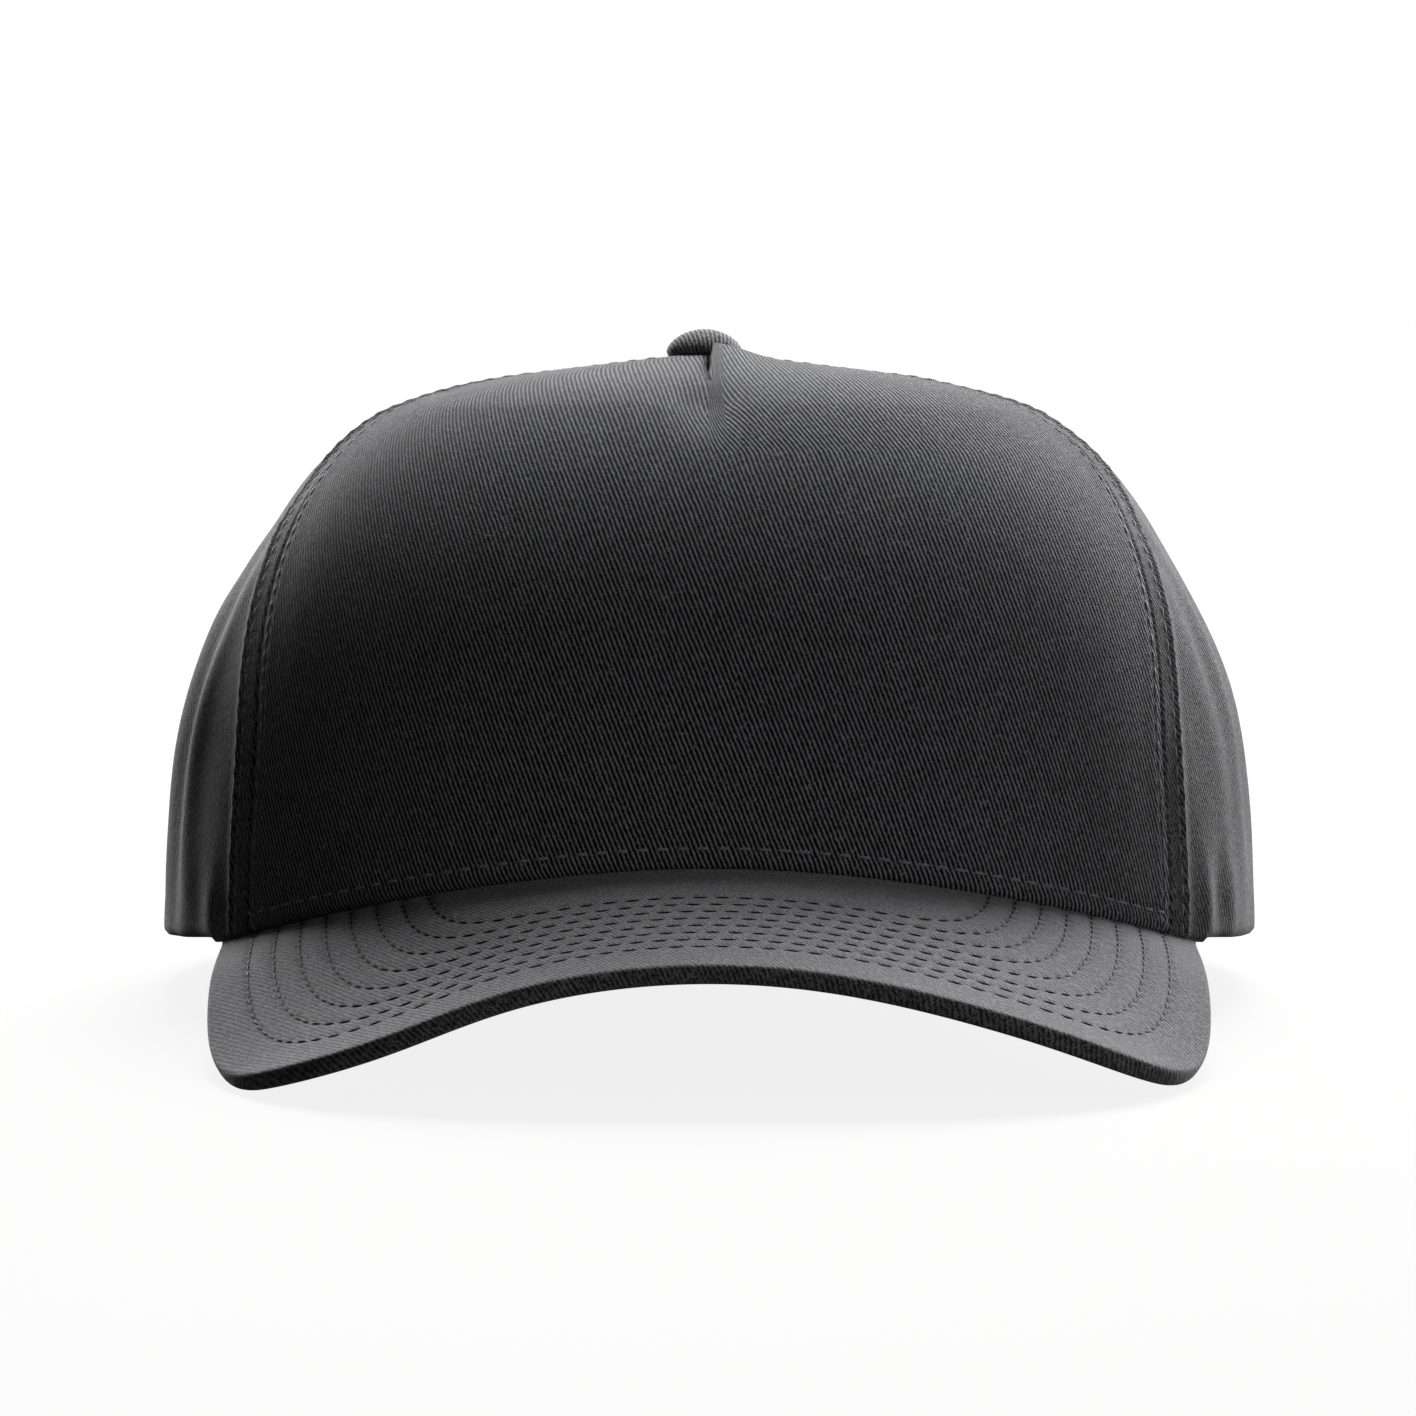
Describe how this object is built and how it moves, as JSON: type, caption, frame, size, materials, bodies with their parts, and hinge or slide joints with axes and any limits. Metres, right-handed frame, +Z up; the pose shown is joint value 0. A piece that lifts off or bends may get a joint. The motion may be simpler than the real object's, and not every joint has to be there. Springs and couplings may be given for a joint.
{
  "type": "five-panel cap",
  "caption": "Cap in dark charcoal cotton twill with one wide stiff front panel, an arched stitched visor, a covered button and an arched back opening with a strap.",
  "frame": {"origin": "on the table, under the middle of the cap's box", "axes": "+Z up, +X to the wearer's left, -Y the way the visor points"},
  "size_m": [0.1818, 0.2562, 0.1093],
  "materials": {
    "cap_twill": "matte",
    "sweatband_cloth": "matte",
    "buckle_metal": "satin"
  },
  "bodies": {
    "root": {"front_panel": "cap_twill", "side_panel_left": "cap_twill", "side_panel_right": "cap_twill", "back_panel_left": "cap_twill", "back_panel_right": "cap_twill", "visor": "cap_twill", "top_button": "cap_twill", "sweatband": "sweatband_cloth", "back_strap": "cap_twill", "strap_buckle": "buckle_metal"}
  },
  "joints": []
}
